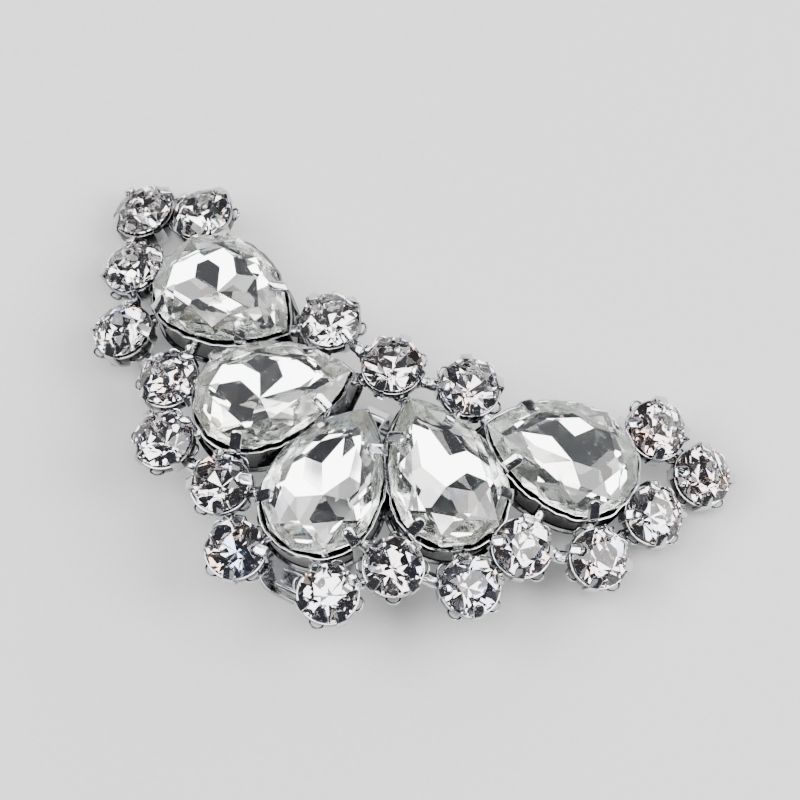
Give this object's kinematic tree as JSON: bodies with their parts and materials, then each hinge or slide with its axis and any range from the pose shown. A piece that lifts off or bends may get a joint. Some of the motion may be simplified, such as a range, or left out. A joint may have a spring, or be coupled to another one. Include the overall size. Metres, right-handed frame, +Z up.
{
  "type": "shoe buckle",
  "caption": "Arched crescent shoe buckle of pear and round crystal stones in soldered claw settings, with a folded clip below.",
  "frame": {"origin": "middle of the buckle's outline in plan, on the surface that the clip and both ends rest on", "axes": "+X along the chord from one end of the crescent to the other, +Y towards the crescent's hollow side, +Z up through the stones' tables"},
  "size_m": [0.0599, 0.0338, 0.0121],
  "materials": {
    "plated_metal": "polished bright rhodium-coloured plating",
    "clip_steel": "polished nickel-plated spring steel",
    "crystal": "clear cut glass with a silver foil back"
  },
  "bodies": {
    "root": {"setting_frame": "plated_metal", "shoe_clip": "clip_steel", "pear_stone_1": "crystal", "pear_stone_2": "crystal", "pear_stone_3": "crystal", "pear_stone_4": "crystal", "pear_stone_5": "crystal", "round_stone_01": "crystal", "round_stone_02": "crystal", "round_stone_03": "crystal", "round_stone_04": "crystal", "round_stone_05": "crystal", "round_stone_06": "crystal", "round_stone_07": "crystal", "round_stone_08": "crystal", "round_stone_09": "crystal", "round_stone_10": "crystal", "round_stone_11": "crystal", "round_stone_12": "crystal", "round_stone_13": "crystal", "round_stone_14": "crystal", "round_stone_15": "crystal", "round_stone_16": "crystal", "round_stone_17": "crystal", "round_stone_18": "crystal", "round_stone_19": "crystal"}
  },
  "joints": []
}
